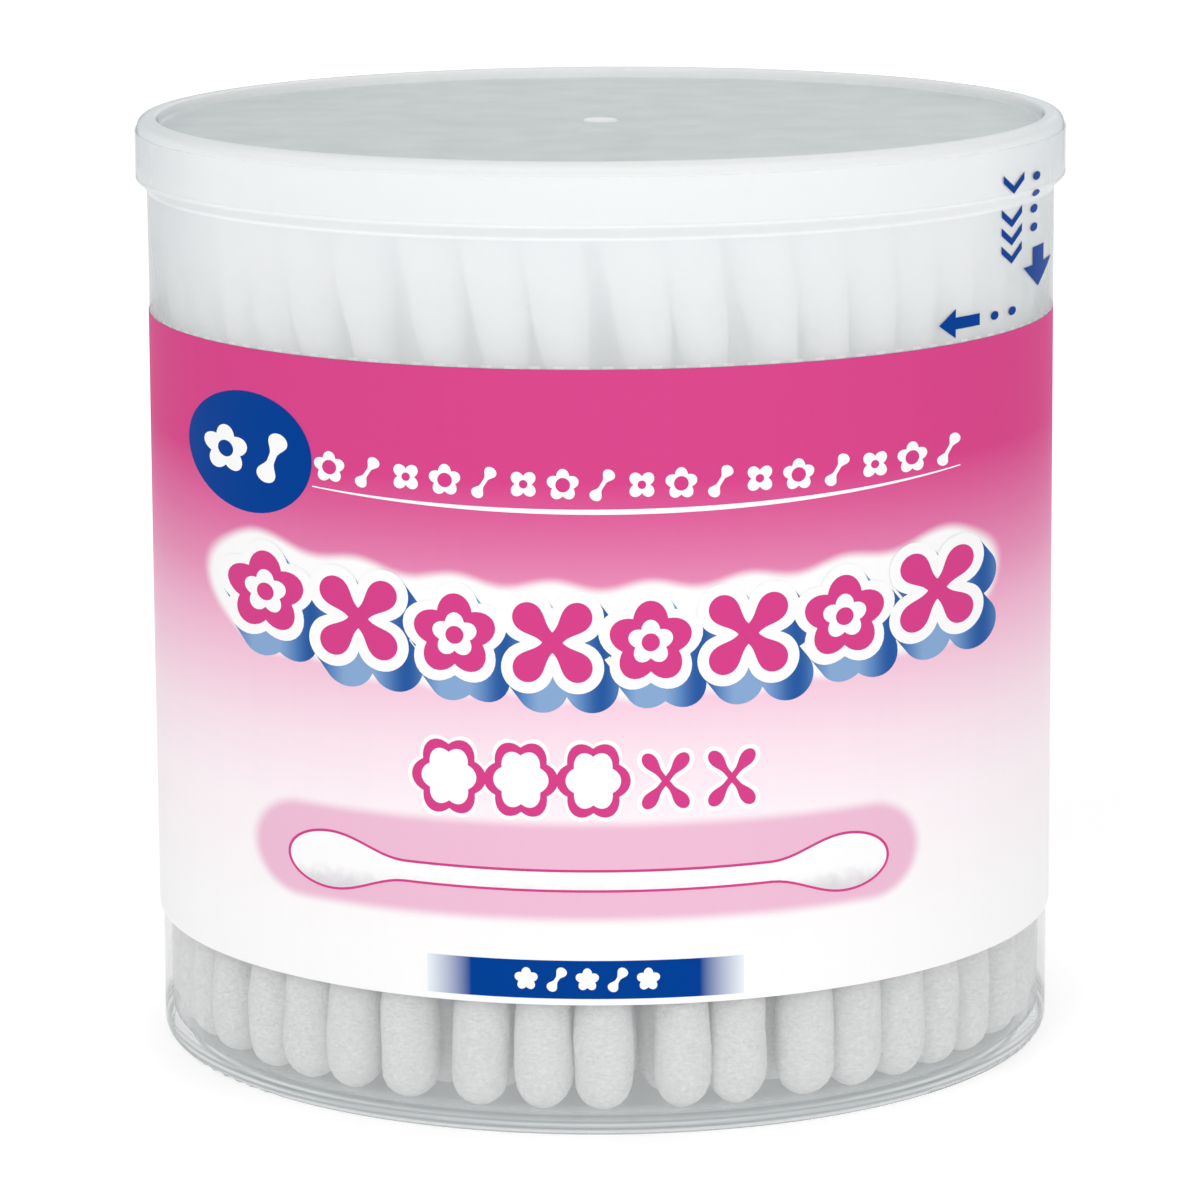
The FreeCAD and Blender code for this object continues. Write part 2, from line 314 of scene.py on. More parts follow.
def wrapped_film(out, start, angle, steps):
    """A band of film round the tub's axis, its outer face the given distance outside the label's."""
    band = bmesh.new()
    corners = [(label_foot + out, label_low.z), (label_head + out, label_high.z + top_trim)]
    points = [band.verts.new((r * math.sin(start), -r * math.cos(start), z)) for r, z in corners]
    line = [band.edges.new(points)]
    bmesh.ops.spin(
        band, geom=points + line, axis=(0, 0, 1), cent=(0, 0, 0), angle=angle, steps=steps,
        use_merge=angle > 6)
    bmesh.ops.recalc_face_normals(band, faces=band.faces)
    if sum(face.normal.dot(face.calc_center_median()) for face in band.faces) < 0:
        bmesh.ops.reverse_faces(band, faces=band.faces)
    bmesh.ops.solidify(band, geom=band.faces, thickness=film)
    return band


def rightwards(tree, at):
    """How far a place is to the right in the picture that it is on: the one at the back is turned half round."""
    out_front = add(tree, "ShaderNodeMath", {0: at.outputs["Y"], 1: -1}, operation="MULTIPLY")
    which = add(tree, "ShaderNodeMath", {0: out_front.outputs[0]}, operation="SIGN")
    return add(tree, "ShaderNodeMath", {0: at.outputs["X"], 1: which.outputs[0]}, operation="MULTIPLY").outputs[0]


# Printed PET film: white ground with a pink fade from the top, a white glow behind the row of blossoms and a
# pink halo round the swab, all under a faint gloss that is a little wavy from the shrinking. Its places are in mm:
# the glow and the halo each fade from the outer to the inner of their two distances.
fade_stops = [
    (55.7, "#d8478a"), (52.6, "#dd639b"), (49.9, "#e177a8"), (45.8, "#e895bb"), (41.0, "#f2bbd4"),
    (33.1, "#fae3ed"), (26.6, "#fdf4f8"), (15.6, "#fdfdfd")]
row_middle = 42.3
row_rise = 2.2
row_half = 28.5
row_pitch = 8.1
row_scallop = 0.35
row_glow = (5.3, 4.2)
swab_middle = -1.6
swab_height = 22.9
swab_half = 24
swab_halo = (4.7, 3.5)
printed_film = bpy.data.materials.new("printed_shrink_film")
printed_film.use_nodes = True
tree = printed_film.node_tree
tree.nodes.clear()
place = add(tree, "ShaderNodeTexCoord", {})
in_mm = add(tree, "ShaderNodeVectorMath", {0: place.outputs["Object"], "Scale": 1000}, operation="SCALE")
at = add(tree, "ShaderNodeSeparateXYZ", {0: in_mm.outputs[0]})
along = add(tree, "ShaderNodeMapRange", {
    "Value": at.outputs["Z"], "From Min": fade_stops[-1][0], "From Max": fade_stops[0][0]})
fade = add(tree, "ShaderNodeValToRGB", {"Fac": along.outputs[0]})
fade.color_ramp.elements[0].color = linear(fade_stops[-1][1])
fade.color_ramp.elements[1].color = linear(fade_stops[0][1])
for stop_height, colour in fade_stops[1:-1]:
    stop = fade.color_ramp.elements.new(
        (stop_height - fade_stops[-1][0]) / (fade_stops[0][0] - fade_stops[-1][0]))
    stop.color = linear(colour)
right = rightwards(tree, at)
square = add(tree, "ShaderNodeMath", {0: at.outputs["X"], 1: at.outputs["X"]}, operation="MULTIPLY")
lowered = add(tree, "ShaderNodeMath", {
    0: square.outputs[0], 1: -row_rise / row_half ** 2, 2: at.outputs["Z"]}, operation="MULTIPLY_ADD")
from_row = add(tree, "ShaderNodeMath", {0: lowered.outputs[0], 1: row_middle}, operation="SUBTRACT")
off_row = add(tree, "ShaderNodeMath", {0: from_row.outputs[0]}, operation="ABSOLUTE")
wave = add(tree, "ShaderNodeMath", {
    0: right, 1: 2 * math.pi / row_pitch, 2: 2 * math.pi * row_half / row_pitch}, operation="MULTIPLY_ADD")
scallop = add(tree, "ShaderNodeMath", {0: wave.outputs[0]}, operation="COSINE")
scalloped = add(tree, "ShaderNodeMath", {
    0: scallop.outputs[0], 1: -row_scallop, 2: off_row.outputs[0]}, operation="MULTIPLY_ADD")
aside = add(tree, "ShaderNodeMath", {0: at.outputs["X"]}, operation="ABSOLUTE")
past_row = add(tree, "ShaderNodeMath", {0: aside.outputs[0], 1: row_half + 0.5}, operation="SUBTRACT")
beyond = add(tree, "ShaderNodeMath", {0: past_row.outputs[0], 1: 0}, operation="MAXIMUM")
to_row = add(tree, "ShaderNodeCombineXYZ", {0: scalloped.outputs[0], 1: beyond.outputs[0]})
row_distance = add(tree, "ShaderNodeVectorMath", {0: to_row.outputs[0]}, operation="LENGTH")
glow = add(tree, "ShaderNodeMapRange", {
    "Value": row_distance.outputs["Value"], "From Min": row_glow[0], "From Max": row_glow[1]},
    interpolation_type="SMOOTHSTEP")
glowing = add(tree, "ShaderNodeMix", {
    "Factor": glow.outputs[0], "A": fade.outputs[0], "B": linear("#fdfdfd")}, data_type="RGBA")
swab_aside = add(tree, "ShaderNodeMath", {0: right, 1: swab_middle}, operation="SUBTRACT")
swab_off = add(tree, "ShaderNodeMath", {0: swab_aside.outputs[0]}, operation="ABSOLUTE")
swab_past = add(tree, "ShaderNodeMath", {0: swab_off.outputs[0], 1: swab_half}, operation="SUBTRACT")
swab_beyond = add(tree, "ShaderNodeMath", {0: swab_past.outputs[0], 1: 0}, operation="MAXIMUM")
swab_above = add(tree, "ShaderNodeMath", {0: at.outputs["Z"], 1: swab_height}, operation="SUBTRACT")
to_swab = add(tree, "ShaderNodeCombineXYZ", {0: swab_above.outputs[0], 1: swab_beyond.outputs[0]})
swab_distance = add(tree, "ShaderNodeVectorMath", {0: to_swab.outputs[0]}, operation="LENGTH")
halo = add(tree, "ShaderNodeMapRange", {
    "Value": swab_distance.outputs["Value"], "From Min": swab_halo[0], "From Max": swab_halo[1]},
    interpolation_type="SMOOTHSTEP")
ground = add(tree, "ShaderNodeMix", {
    "Factor": halo.outputs[0], "A": glowing.outputs["Result"], "B": linear("#eebed6")}, data_type="RGBA")
upright = add(tree, "ShaderNodeMapping", {"Vector": place.outputs["Object"], "Scale": (1, 1, 0.02)})
streaks = add(tree, "ShaderNodeTexNoise", {"Vector": upright.outputs[0], "Scale": 1 / (1.2 * mm), "Detail": 2})
brightness = add(tree, "ShaderNodeMapRange", {"Value": streaks.outputs["Fac"], "To Min": 0.985, "To Max": 1.01})
streaked = add(tree, "ShaderNodeHueSaturation", {
    "Color": ground.outputs["Result"], "Value": brightness.outputs[0]})
waves = add(tree, "ShaderNodeTexNoise", {"Vector": place.outputs["Object"], "Scale": 1 / (14 * mm), "Detail": 1})
ripple = add(tree, "ShaderNodeBump", {"Height": waves.outputs["Fac"], "Strength": 0.1, "Distance": 0.3 * mm})
surface = add(tree, "ShaderNodeBsdfPrincipled", {
    "Base Color": streaked.outputs[0], "Roughness": 0.5, "Specular IOR Level": 0.02, "Normal": ripple.outputs[0]})
add(tree, "ShaderNodeOutputMaterial", {"Surface": surface.outputs[0]})
finished(
    "shrink_sleeve", wrapped_film(0, 0, 2 * math.pi, 256), printed_film, True, "printed_film", "filled_tub",
    "printed_label")
seam_angle = seam_width / label_head
finished(
    "sleeve_seam", wrapped_film(0.06 * mm, -math.pi / 2 - seam_angle / 2, seam_angle, 6), printed_film, True,
    "printed_film", "filled_tub")

# Print on the label. Gravure ink on the film: a badge, a row of small marks over a thin line, a raised-looking
# row of cotton blossoms and crossed swabs, a row of five shapes, one long swab and a bar.
# Each shape is drawn flat, as seen from the front, and then laid on the film, and again on the back.
ink_step = 0.01 * mm
shape_step = 0.0002 * mm


def flat(points):
    """A flat shape with the given corners, in mm to the right and up."""
    shape = bmesh.new()
    shape.faces.new([shape.verts.new((x * mm, 0, z * mm)) for x, z in points])
    return shape


def bloom(x, z, reach, petals=0, dent=0.0, turn=0.0, tall=1.0):
    """A blossom with round petals, or a disc where it has none."""
    shape = bmesh.new()
    bmesh.ops.create_circle(shape, cap_ends=True, segments=60, radius=1)
    for vert in shape.verts:
        angle = math.atan2(vert.co.y, vert.co.x)
        out = reach * mm * (1 - dent * (1 - abs(math.cos(petals * (angle - turn) / 2))))
        vert.co = (x * mm + out * math.cos(angle), 0, z * mm + out * math.sin(angle) * tall)
    return shape


def ribbon(path, half_width, steps):
    """A flat band along a path of (right, up) places, with a half width at every share of its length."""
    shape = bmesh.new()
    bmesh.ops.create_grid(shape, x_segments=steps, y_segments=1, size=1)
    for vert in shape.verts:
        share = 0.5 - 0.5 * math.cos(math.pi * (vert.co.x + 1) / 2)
        here = Vector(path(share))
        across = (Vector(path(share + 0.001)) - Vector(path(share - 0.001))).normalized().orthogonal()
        here += across * half_width(share) * math.copysign(1, vert.co.y)
        vert.co = (here.x * mm, 0, here.y * mm)
    bmesh.ops.remove_doubles(shape, verts=shape.verts, dist=0.001 * mm)
    return shape


def drawn_swab(x, z, length, turn, bulb, stick, bulb_length, grown=0.0, sag=0.0):
    """A swab as a flat shape: straight or slightly sagging, with an egg-shaped bulb at each end."""
    whole = length + 2 * grown

    def path(share):
        s = (share - 0.5) * whole
        drop = sag * ((2 * s / length) ** 2 - 1)
        return (x + s * math.cos(turn) - drop * math.sin(turn), z + s * math.sin(turn) + drop * math.cos(turn))

    def half_width(share):
        s = min(share, 1 - share) * whole
        widest = 0.42 * bulb_length + grown
        if s < widest:
            return (bulb + grown) * math.sqrt(max(0, 1 - (1 - s / widest) ** 2))
        past = min(1, (s - widest) / (0.75 * bulb_length))
        return grown + stick + (bulb - stick) * (0.5 + 0.5 * math.cos(math.pi * past))

    return ribbon(path, half_width, 96)


def lay(layer, shape, radius_at, level):
    """Cuts a flat shape at every degree of turn, lays it on the film and adds it to a layer of ink."""
    widest = max(radius_at(vert.co.z) for vert in shape.verts)
    left = min(vert.co.x for vert in shape.verts)
    right = max(vert.co.x for vert in shape.verts)
    for degree in range(-85, 86):
        cut = widest * math.sin(math.radians(degree))
        if left < cut < right:
            bmesh.ops.bisect_plane(
                shape, geom=shape.verts[:] + shape.edges[:] + shape.faces[:], dist=0.00001 * mm,
                plane_co=(cut, 0, 0), plane_no=(1, 0, 0))
    shape.normal_update()
    bmesh.ops.reverse_faces(shape, faces=[face for face in shape.faces if face.normal.y > 0])
    for vert in shape.verts:
        out = radius_at(vert.co.z) + level
        vert.co.y = -math.sqrt(out ** 2 - vert.co.x ** 2)
    laid = bpy.data.meshes.new("laid")
    shape.to_mesh(laid)
    shape.free()
    layer.from_mesh(laid)
    bpy.data.meshes.remove(laid)


def ink(name, colour):
    """Gravure ink: an even flat colour with the film's faint gloss."""
    made = bpy.data.materials.new(name)
    made.use_nodes = True
    tree = made.node_tree
    tree.nodes.clear()
    place = add(tree, "ShaderNodeTexCoord", {})
    grain = add(tree, "ShaderNodeTexNoise", {"Vector": place.outputs["Object"], "Scale": 1 / (0.5 * mm), "Detail": 2})
    gloss = add(tree, "ShaderNodeMapRange", {"Value": grain.outputs["Fac"], "To Min": 0.37, "To Max": 0.47})
    surface = add(tree, "ShaderNodeBsdfPrincipled", {
        "Base Color": linear(colour), "Roughness": gloss.outputs[0], "Specular IOR Level": 0.02})
    add(tree, "ShaderNodeOutputMaterial", {"Surface": surface.outputs[0]})
    return made


def print_layer(name, shapes, material, level):
    """All shapes of one colour, front and back, each a hair above the last so that none share a surface."""
    layer = bmesh.new()
    for i, shape in enumerate(shapes):
        lay(layer, shape, label_radius, level * ink_step + i * shape_step)
    copied = bmesh.ops.duplicate(layer, geom=layer.verts[:] + layer.edges[:] + layer.faces[:])
    bmesh.ops.rotate(
        layer, verts=[part for part in copied["geom"] if isinstance(part, bmesh.types.BMVert)], cent=(0, 0, 0),
        matrix=Matrix.Rotation(math.pi, 3, "Z"))
    finished(name, layer, material, False, "printed_film", "filled_tub")


def row_height(x):
    """Height of the blossom row's middle at a place to the right."""
    return row_middle + row_rise * (x / row_half) ** 2


pink_ink = ink("pink_gravure_ink", "#d6438a")
blue_ink = ink("blue_gravure_ink", "#003f93")
white_ink = ink("white_gravure_ink", "#fdfdfd")

# Blue side ink: dark on the left of each blossom and paler to the right, which gives the row its depth.
side_ink = bpy.data.materials.new("shaded_blue_gravure_ink")
side_ink.use_nodes = True
tree = side_ink.node_tree
tree.nodes.clear()
place = add(tree, "ShaderNodeTexCoord", {})
at = add(tree, "ShaderNodeSeparateXYZ", {0: place.outputs["Object"]})
cell = add(tree, "ShaderNodeMath", {
    0: rightwards(tree, at), 1: 1 / (row_pitch * mm), 2: row_half / row_pitch + 0.5}, operation="MULTIPLY_ADD")
cell_turn = add(tree, "ShaderNodeMath", {0: cell.outputs[0], 1: 2 * math.pi}, operation="MULTIPLY")
swing = add(tree, "ShaderNodeMath", {0: cell_turn.outputs[0]}, operation="COSINE")
share = add(tree, "ShaderNodeMapRange", {"Value": swing.outputs[0], "From Min": 1, "From Max": -0.6})
shade = add(tree, "ShaderNodeValToRGB", {"Fac": share.outputs[0]})
shade.color_ramp.elements[0].color = linear("#2a5aa0")
shade.color_ramp.elements[1].color = linear("#88a9d2")
middle_shade = shade.color_ramp.elements.new(0.4)
middle_shade.color = linear("#5b86bf")
surface = add(tree, "ShaderNodeBsdfPrincipled", {
    "Base Color": shade.outputs[0], "Roughness": 0.42, "Specular IOR Level": 0.02})
add(tree, "ShaderNodeOutputMaterial", {"Surface": surface.outputs[0]})

row_places = [i * row_pitch - row_half for i in range(8)]


def row_outlines(right, down, grown):
    """The outlines of the row's eight pictures, moved and grown."""
    outlines = []
    for i, x in enumerate(row_places):
        z = row_height(x) - down
        if i % 2:
            for turn in (0.8, -0.8):
                outlines.append(drawn_swab(x + right, z, 8.4, turn, 1.25, 0.6, 3.0, grown))
        else:
            outlines.append(bloom(x + right, z, 3.5 + grown, 5, 0.3 * 3.5 / (3.5 + grown), math.pi / 2))
    return outlines


outline_width = 0.95
depth_right, depth_down, depth_steps = 1.2, 1.6, 9
sides = []
for i in range(depth_steps):
    share_back = 1 - i / depth_steps
    sides += row_outlines(depth_right * share_back, depth_down * share_back, outline_width)
print_layer("row_depth", sides, side_ink, 1)
print_layer("row_outline", row_outlines(0, 0, outline_width), white_ink, 4)
print_layer("row_pictures", row_outlines(0, 0, 0), pink_ink, 5)
blossoms = [(x, row_height(x)) for x in row_places[::2]]
print_layer("row_petals", [bloom(x, z, 1.9, 5, 0.3, math.pi / 2) for x, z in blossoms], white_ink, 6)
print_layer("row_hearts", [bloom(x, z, 0.75) for x, z in blossoms], pink_ink, 7)

print_layer("badge", [bloom(-29.8, 56.2, 5.6, tall=0.92)], blue_ink, 1)
print_layer("badge_marks", [
    bloom(-31.9, 56.1, 2.05, 5, 0.32, math.pi / 2), drawn_swab(-27.7, 56.0, 4.5, 1.2, 0.85, 0.32, 1.7)],
    white_ink, 2)
print_layer("badge_heart", [bloom(-31.9, 56.1, 0.7)], blue_ink, 3)

small_marks = []
small_hearts = []
for i in range(17):
    x = -22.7 + 3.24 * i
    z = 55.5 + 0.55 * (x / 26) ** 2
    if i % 3 == 0:
        small_marks.append(bloom(x, z, 1.35, 5, 0.32, math.pi / 2))
        small_hearts.append(bloom(x, z, 0.6))
    elif i % 3 == 1:
        small_marks.append(drawn_swab(x, z, 2.9, 1.0, 0.52, 0.17, 1.0))
    else:
        small_marks.append(bloom(x, z, 1.25, 4, 0.45, math.pi / 4))
        small_hearts.append(bloom(x, z, 0.35))
small_marks.append(ribbon(
    lambda share: (54.4 * share - 24.2, 53.26 + 1.45 * (share - 0.44) ** 2 * 3.1),
    lambda share: 0.05 + 0.17 * math.sin(math.pi * share), 48))
print_layer("small_marks", small_marks, white_ink, 1)
print_layer("small_hearts", small_hearts, pink_ink, 2)

count_shapes = []
count_outlines = []
count_middles = []
for i, x in enumerate((-12.9, -6.9, -0.9, 5.1, 10.6)):
    if i < 3:
        count_outlines.append(bloom(x, 30.7, 3.45, 6, 0.2, 0, 1.1))
        count_shapes.append(bloom(x, 30.7, 3.1, 6, 0.2, 0, 1.1))
        count_middles.append(bloom(x, 30.7, 2.3, 6, 0.2, 0, 1.12))
    else:
        for turn in (0.9, -0.9):
            count_outlines.append(drawn_swab(x, 30.6, 5.8, turn, 0.6, 0.26, 1.9, 0.4))
            count_shapes.append(drawn_swab(x, 30.6, 5.8, turn, 0.6, 0.26, 1.9))
print_layer("count_outlines", count_outlines, white_ink, 1)
print_layer("count_shapes", count_shapes, pink_ink, 2)
print_layer("count_middles", count_middles, white_ink, 3)

# White ink with a fine grey screen: the drawn swab is a little shaded along its lower side.
swab_ink = bpy.data.materials.new("screened_white_gravure_ink")
swab_ink.use_nodes = True
tree = swab_ink.node_tree
tree.nodes.clear()
place = add(tree, "ShaderNodeTexCoord", {})
at = add(tree, "ShaderNodeSeparateXYZ", {0: place.outputs["Object"]})
soft = add(tree, "ShaderNodeTexNoise", {"Vector": place.outputs["Object"], "Scale": 1 / (1.1 * mm), "Detail": 3})
uneven = add(tree, "ShaderNodeMath", {
    0: soft.outputs["Fac"], 1: 1.6 * mm, 2: at.outputs["Z"]}, operation="MULTIPLY_ADD")
shade = add(tree, "ShaderNodeMapRange", {
    "Value": uneven.outputs[0], "From Min": 22.9 * mm, "From Max": 20.9 * mm}, interpolation_type="SMOOTHSTEP")
tint = add(tree, "ShaderNodeMix", {
    "Factor": shade.outputs[0], "A": linear("#fdfdfd"), "B": linear("#dddadf")}, data_type="RGBA")
surface = add(tree, "ShaderNodeBsdfPrincipled", {
    "Base Color": tint.outputs["Result"], "Roughness": 0.42, "Specular IOR Level": 0.02})
add(tree, "ShaderNodeOutputMaterial", {"Surface": surface.outputs[0]})
print_layer("swab_outline", [drawn_swab(-1.4, 22.45, 50.4, 0, 2.35, 0.75, 8.5, 0.22, 0.3)], pink_ink, 1)
print_layer("swab_picture", [drawn_swab(-1.4, 22.45, 50.4, 0, 2.35, 0.75, 8.5, 0, 0.3)], swab_ink, 2)

# Bar ink: full blue in the middle that fades into the white ground over the last 3.7 mm at both ends.
bar_left, bar_right, bar_fade = -14.9 * mm, 11.6 * mm, 3.7 * mm
bar_ink = bpy.data.materials.new("fading_blue_gravure_ink")
bar_ink.use_nodes = True
tree = bar_ink.node_tree
tree.nodes.clear()
place = add(tree, "ShaderNodeTexCoord", {})
at = add(tree, "ShaderNodeSeparateXYZ", {0: place.outputs["Object"]})
right = rightwards(tree, at)
from_left = add(tree, "ShaderNodeMath", {0: right, 1: bar_left}, operation="SUBTRACT")
from_right = add(tree, "ShaderNodeMath", {0: bar_right, 1: right}, operation="SUBTRACT")
nearer = add(tree, "ShaderNodeMath", {0: from_left.outputs[0], 1: from_right.outputs[0]}, operation="MINIMUM")
inside = add(tree, "ShaderNodeMapRange", {"Value": nearer.outputs[0], "From Min": 0, "From Max": bar_fade})
tint = add(tree, "ShaderNodeMix", {
    "Factor": inside.outputs[0], "A": linear("#ecf3f8"), "B": linear("#003f93")}, data_type="RGBA")
surface = add(tree, "ShaderNodeBsdfPrincipled", {
    "Base Color": tint.outputs["Result"], "Roughness": 0.42, "Specular IOR Level": 0.02})
add(tree, "ShaderNodeOutputMaterial", {"Surface": surface.outputs[0]})
print_layer("bar", [flat([(-14.9, 12.05), (11.6, 12.05), (11.6, 15.33), (-14.9, 15.33)])], bar_ink, 1)
bar_marks = []
for i in range(5):
    x = -6.6 + 2.55 * i
    if i % 2:
        bar_marks.append(drawn_swab(x, 13.7, 2.3, 1.0, 0.45, 0.17, 0.9))
    else:
        bar_marks.append(bloom(x, 13.7, 1.0, 5, 0.32, math.pi / 2))
print_layer("bar_marks", bar_marks, white_ink, 2)

# Lid. A press-on cap, injection moulded from natural polypropylene: a sunk panel with the gate mark in its
# middle, a rounded rim, and a skirt that snaps over the tub's bead. It stands as the CAD has it.
panel_edge = 39.0 * mm
gate_radius = 1.7 * mm

# Natural polypropylene with a fine matt texture: milky white and see-through enough to glow in the rim and skirt.
# Where it is seen edge on above the lip it is painted with a thin grey line, a painted shade. The thin panel is
# painted greyer and cloudy, a painted shade that stands in for the dark inside and the swabs seen through it. The
# gate mark is painted whiter, a painted highlight.
polypropylene = bpy.data.materials.new("frosted_polypropylene")
polypropylene.use_nodes = True
tree = polypropylene.node_tree
tree.nodes.clear()
place = add(tree, "ShaderNodeTexCoord", {})
level_place = add(tree, "ShaderNodeVectorMath", {0: place.outputs["Object"], 1: (1, 1, 0)}, operation="MULTIPLY")
from_axis = add(tree, "ShaderNodeVectorMath", {0: level_place.outputs[0]}, operation="LENGTH")
panel = add(tree, "ShaderNodeMapRange", {
    "Value": from_axis.outputs["Value"], "From Min": panel_edge, "From Max": panel_edge - 0.3 * mm})
gate = add(tree, "ShaderNodeMapRange", {
    "Value": from_axis.outputs["Value"], "From Min": gate_radius, "From Max": gate_radius - 0.2 * mm})
open_panel = add(tree, "ShaderNodeMath", {0: panel.outputs[0], 1: gate.outputs[0]}, operation="SUBTRACT")
# Painted shade: the panel's grey clouds stand in for the dark inside and the swabs below it.
painted_clouds = add(tree, "ShaderNodeTexNoise", {"Vector": place.outputs["Object"], "Scale": 1 / (5 * mm), "Detail": 4})
painted_panel_shade = add(tree, "ShaderNodeMix", {
    "Factor": painted_clouds.outputs["Fac"], "A": linear("#bfc8c9"), "B": linear("#e1e8e9")}, data_type="RGBA")
# Painted shade: a grey line where the lid is seen edge on, weaker down at the lip.
edge_on = add(tree, "ShaderNodeLayerWeight", {"Blend": 0.12})
level = add(tree, "ShaderNodeSeparateXYZ", {0: place.outputs["Object"]})
over_lip = add(tree, "ShaderNodeMapRange", {
    "Value": level.outputs["Z"], "From Min": 77.2 * mm, "From Max": 78.2 * mm, "To Min": 0.45, "To Max": 1})
outline = add(tree, "ShaderNodeMath", {0: edge_on.outputs["Facing"], 1: over_lip.outputs[0]}, operation="MULTIPLY")
rim_tint = add(tree, "ShaderNodeValToRGB", {"Fac": outline.outputs[0]})
rim_tint.color_ramp.elements[0].position = 0.15
rim_tint.color_ramp.elements[0].color = linear("#f9fbfb")
rim_tint.color_ramp.elements[1].position = 0.62
rim_tint.color_ramp.elements[1].color = linear("#6f787c")
for position, colour in ((0.4, "#e4ebee"), (0.52, "#aab4b8")):
    stop = rim_tint.color_ramp.elements.new(position)
    stop.color = linear(colour)
# Painted highlight: the gate mark is painted whiter.
with_painted_gate_highlight = add(tree, "ShaderNodeMix", {
    "Factor": gate.outputs[0], "A": rim_tint.outputs[0], "B": linear("#fdfefe")}, data_type="RGBA")
tint = add(tree, "ShaderNodeMix", {
    "Factor": open_panel.outputs[0], "A": with_painted_gate_highlight.outputs["Result"], "B": painted_panel_shade.outputs["Result"]},
    data_type="RGBA")
alpha = add(tree, "ShaderNodeMapRange", {"Value": open_panel.outputs[0], "To Min": 0.8, "To Max": 0.62})
grain = add(tree, "ShaderNodeTexNoise", {"Vector": place.outputs["Object"], "Scale": 1 / (0.3 * mm), "Detail": 2})
texture = add(tree, "ShaderNodeBump", {"Height": grain.outputs["Fac"], "Strength": 0.06, "Distance": 0.03 * mm})
surface = add(tree, "ShaderNodeBsdfPrincipled", {
    "Base Color": tint.outputs["Result"], "Roughness": 0.5, "IOR": 1.49, "Specular IOR Level": 0.2,
    "Alpha": letting_light_in(tree, alpha.outputs[0], 0.35), "Normal": texture.outputs[0]})
add(tree, "ShaderNodeOutputMaterial", {"Surface": surface.outputs[0]})
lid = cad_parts["lid"]
lid.data.materials.clear()
lid.data.materials.append(polypropylene)

# Tear strip. The clear upper part of the same shrink sleeve: it hugs the wall, folds out under the lid's lip
# and runs up the skirt, and is torn off along a perforation just above the label.
strip_low, strip_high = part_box("tear_strip")
skirt_reach = strip_high.x
wall_reach = reach_of("tear_strip", strip_low.z)
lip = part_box("lid")[0].z
fold_low, fold_high = lip - 0.9 * mm, lip + 0.1 * mm
perforations = 125

# Clear PET film: fits the wall closely at the label, but stands off towards the lid, where its milky haze is raised
# as painted light, and more so in the fold. The fold is shaded as if it stood upright and glows a little, painted
# light that stands in for the light that comes down through the skirt. Seen edge on it is painted grey, a painted
# shade; otherwise it is seen by its soft gloss, its edges and the short cuts of the perforation.
clear_film = bpy.data.materials.new("clear_shrink_film")
clear_film.use_nodes = True
tree = clear_film.node_tree
tree.nodes.clear()
place = add(tree, "ShaderNodeTexCoord", {})
at = add(tree, "ShaderNodeSeparateXYZ", {0: place.outputs["Object"]})
level_place = add(tree, "ShaderNodeVectorMath", {0: place.outputs["Object"], 1: (1, 1, 0)}, operation="MULTIPLY")
outwards = add(tree, "ShaderNodeVectorMath", {0: level_place.outputs[0]}, operation="NORMALIZE")
surface_at = add(tree, "ShaderNodeNewGeometry", {})
facing_out = add(tree, "ShaderNodeVectorMath", {
    0: surface_at.outputs["Normal"], 1: outwards.outputs[0]}, operation="DOT_PRODUCT")
side = add(tree, "ShaderNodeMath", {0: facing_out.outputs["Value"]}, operation="SIGN")
upright = add(tree, "ShaderNodeVectorMath", {0: outwards.outputs[0], "Scale": side.outputs[0]}, operation="SCALE")
edge_on = add(tree, "ShaderNodeLayerWeight", {"Blend": 0.25, "Normal": upright.outputs[0]})
body = add(tree, "ShaderNodeMapRange", {"Value": edge_on.outputs["Facing"], "To Min": 0.3, "To Max": 0.5})
# Painted shade: grey where the film is seen edge on.
side_painted_shade = add(tree, "ShaderNodeMapRange", {"Value": edge_on.outputs["Facing"], "From Min": 0.25, "From Max": 0.85})
tint = add(tree, "ShaderNodeMix", {
    "Factor": side_painted_shade.outputs[0], "A": linear("#f4f7f9"), "B": linear("#b1babd")}, data_type="RGBA")
# Painted light: the film's haze grows whiter towards the lid, and more in the fold.
haze_and_painted_lid_light = add(tree, "ShaderNodeMapRange", {
    "Value": at.outputs["Z"], "From Min": 64 * mm, "From Max": 76 * mm, "To Max": 0.28},
    interpolation_type="SMOOTHSTEP")
fold = add(tree, "ShaderNodeMapRange", {
    "Value": at.outputs["Z"], "From Min": 75.5 * mm, "From Max": 75.9 * mm, "To Max": 0.3})
skirt_part = add(tree, "ShaderNodeMapRange", {
    "Value": at.outputs["Z"], "From Min": 76.7 * mm, "From Max": 77 * mm, "To Min": 1, "To Max": 0})
veil = add(tree, "ShaderNodeMath", {0: haze_and_painted_lid_light.outputs[0], 1: fold.outputs[0]}, operation="ADD")
milky = add(tree, "ShaderNodeMath", {0: veil.outputs[0], 1: skirt_part.outputs[0]}, operation="MULTIPLY")
